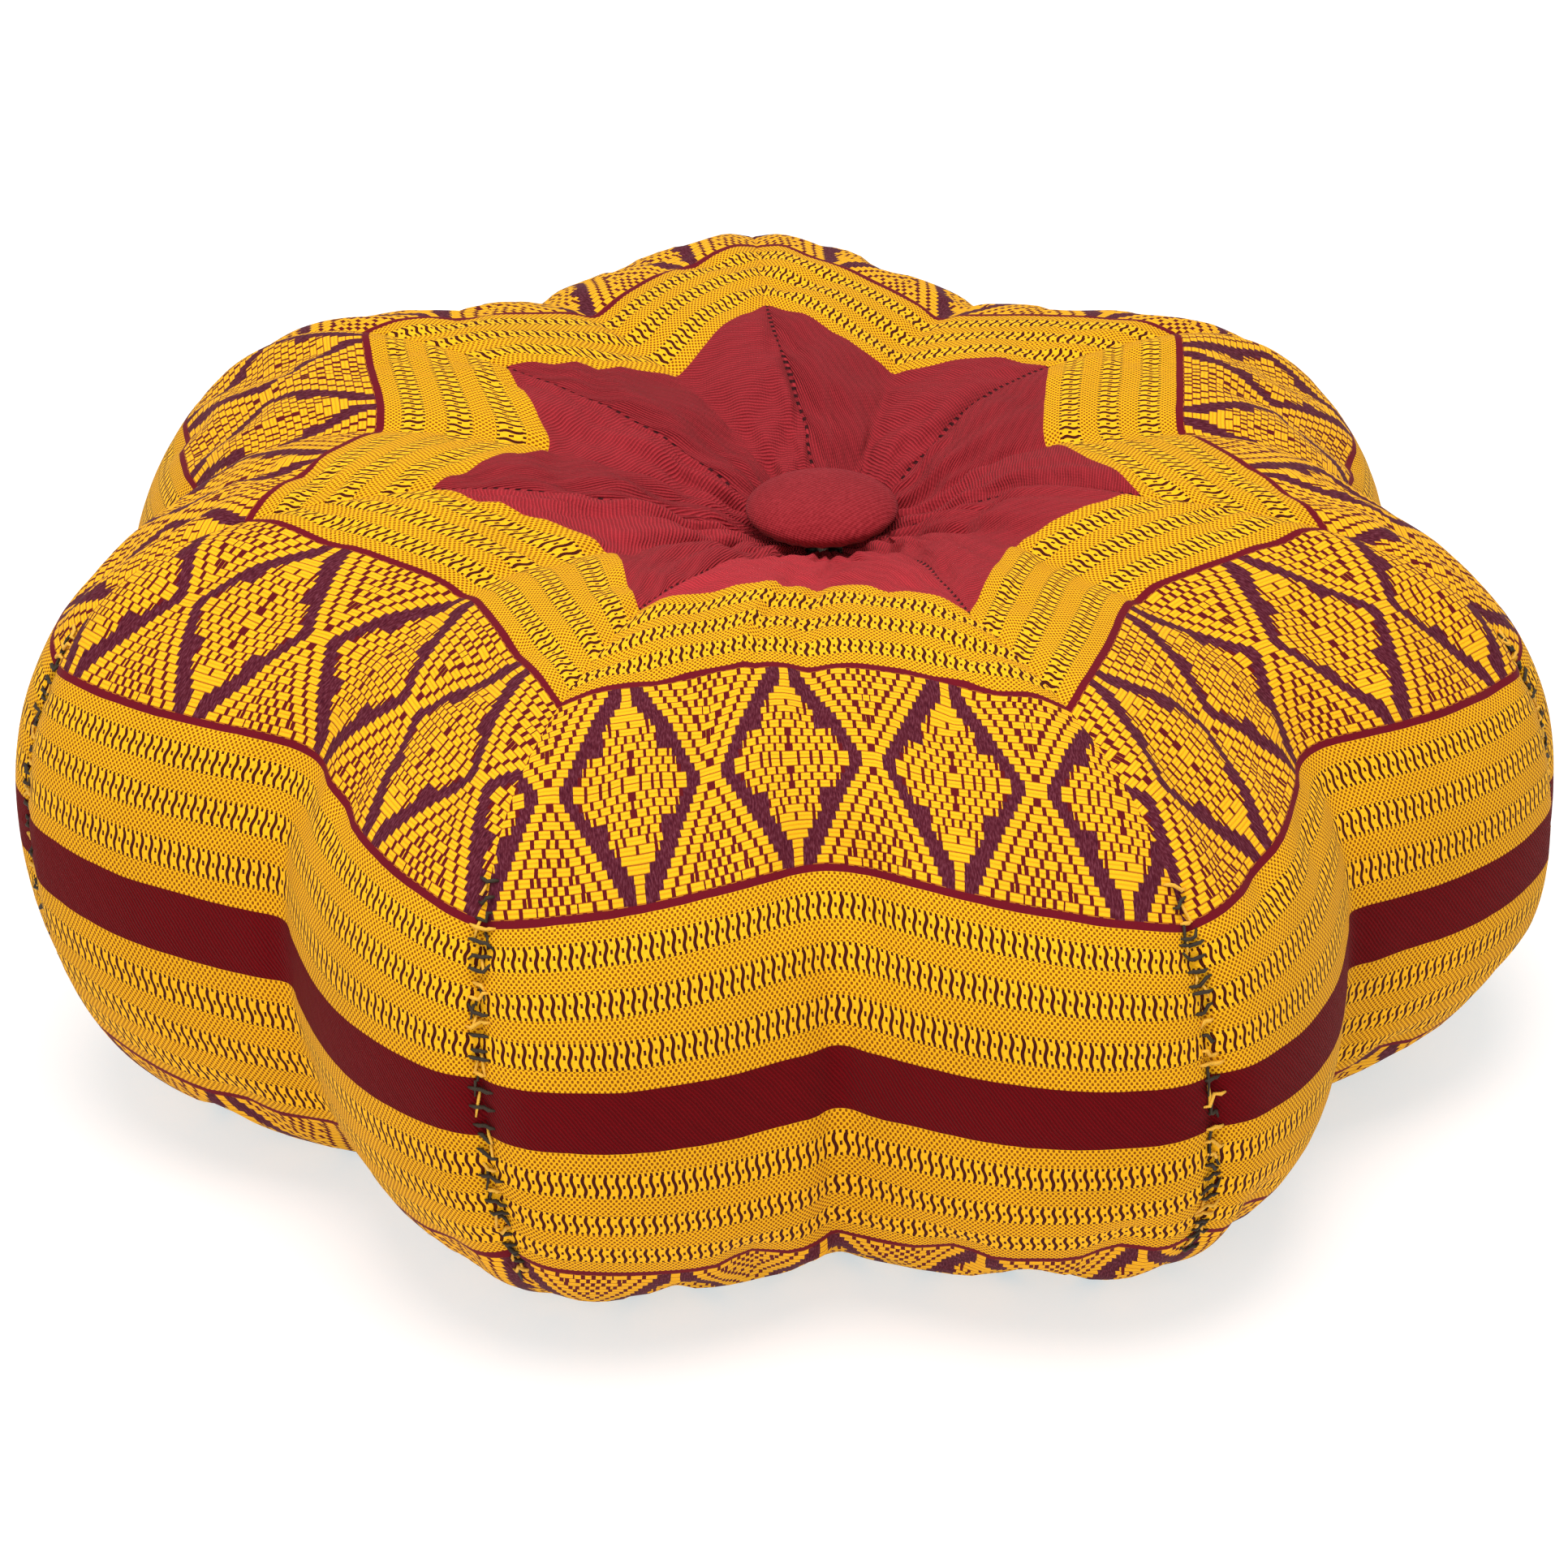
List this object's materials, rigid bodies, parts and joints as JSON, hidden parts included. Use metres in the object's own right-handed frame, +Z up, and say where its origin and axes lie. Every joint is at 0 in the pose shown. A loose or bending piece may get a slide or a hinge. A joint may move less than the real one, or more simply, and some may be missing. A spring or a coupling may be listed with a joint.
{
  "type": "floor cushion",
  "caption": "Round lobed floor cushion with a patterned woven cotton cover, kapok filling and a covered tufting button on each side.",
  "frame": {"origin": "middle of the footprint box, on the floor", "axes": "+Z up along the cushion's short axis, +Y towards lobe 1; the tufting axis is parallel to Z and 8.9 mm behind the origin, towards -Y, because the number of lobes is odd"},
  "size_m": [0.4431, 0.4356, 0.181],
  "materials": {
    "woven_cotton": "hand-woven cotton in maroon and golden yellow, matt with a faint sheen on the long threads",
    "maroon_cotton": "maroon cotton twill, matt",
    "plain_cotton": "plain undyed cotton, matt",
    "kapok": "loose silky plant fibre, off-white",
    "closing_thread": "dark brown cotton thread with yellow strands",
    "cotton_cord": "twisted undyed cotton cord",
    "wood": "plain turned wood",
    "steel_wire": "drawn steel wire"
  },
  "bodies": {
    "cushion": {"cover_panel_1": "woven_cotton", "cover_panel_2": "woven_cotton", "cover_panel_3": "woven_cotton", "cover_panel_4": "woven_cotton", "cover_panel_5": "woven_cotton", "cover_panel_6": "woven_cotton", "cover_panel_7": "woven_cotton", "kapok_filling_1": "kapok", "kapok_filling_2": "kapok", "kapok_filling_3": "kapok", "kapok_filling_4": "kapok", "kapok_filling_5": "kapok", "kapok_filling_6": "kapok", "kapok_filling_7": "kapok", "partition_1": "plain_cotton", "partition_2": "plain_cotton", "partition_3": "plain_cotton", "partition_4": "plain_cotton", "partition_5": "plain_cotton", "partition_6": "plain_cotton", "partition_7": "plain_cotton", "closing_stitches_1": "closing_thread", "closing_stitches_2": "closing_thread", "closing_stitches_3": "closing_thread", "closing_stitches_4": "closing_thread", "closing_stitches_5": "closing_thread", "closing_stitches_6": "closing_thread", "closing_stitches_7": "closing_thread", "tie_cord": "cotton_cord"},
    "top_button": {"top_button_cloth": "maroon_cotton", "top_button_core": "wood", "top_button_loop": "steel_wire"},
    "bottom_button": {"bottom_button_cloth": "maroon_cotton", "bottom_button_core": "wood", "bottom_button_loop": "steel_wire"}
  },
  "joints": [
    {"name": "top_button_swivel", "type": "hinge", "parent": "cushion", "child": "top_button", "pos_m": [0, -0.00887, 0.159], "axis": [0, 0, 1], "range_deg": [-35, 35]},
    {"name": "bottom_button_swivel", "type": "hinge", "parent": "cushion", "child": "bottom_button", "pos_m": [0, -0.00887, 0.021], "axis": [0, 0, 1], "range_deg": [-35, 35]}
  ]
}
